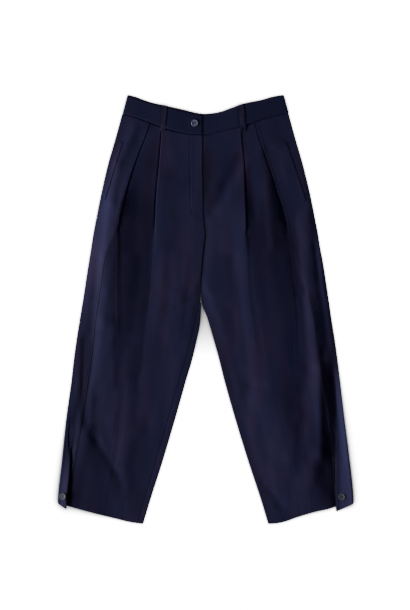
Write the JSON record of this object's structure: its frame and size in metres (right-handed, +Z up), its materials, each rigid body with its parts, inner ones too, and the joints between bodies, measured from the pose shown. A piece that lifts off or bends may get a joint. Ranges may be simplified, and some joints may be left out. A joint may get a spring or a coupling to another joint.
{
  "type": "pleated trousers",
  "caption": "High-waisted barrel-leg trousers with deep front pleats, welt pockets, belt loops, a buttoned waistband and buttoned hem tucks, lying flat with the front up.",
  "frame": {"origin": "centre of the outline on the surface that the trousers lie on", "axes": "+Y towards the waist, +X to the viewer's right, +Z up out of the surface, front of the garment up"},
  "size_m": [0.6503, 0.9437, 0.0204],
  "materials": {
    "cloth": "matt navy gabardine",
    "button": "satin resin"
  },
  "bodies": {
    "root": {"front_left": "cloth", "front_right": "cloth", "side_left": "cloth", "side_right": "cloth", "back_left": "cloth", "back_right": "cloth", "waistband_left": "cloth", "waistband_right": "cloth", "belt_loop_left": "cloth", "belt_loop_right": "cloth", "pocket_welt_left": "cloth", "pocket_welt_right": "cloth", "button_waist": "button", "button_hem_left": "button", "button_hem_right": "button"}
  },
  "joints": []
}
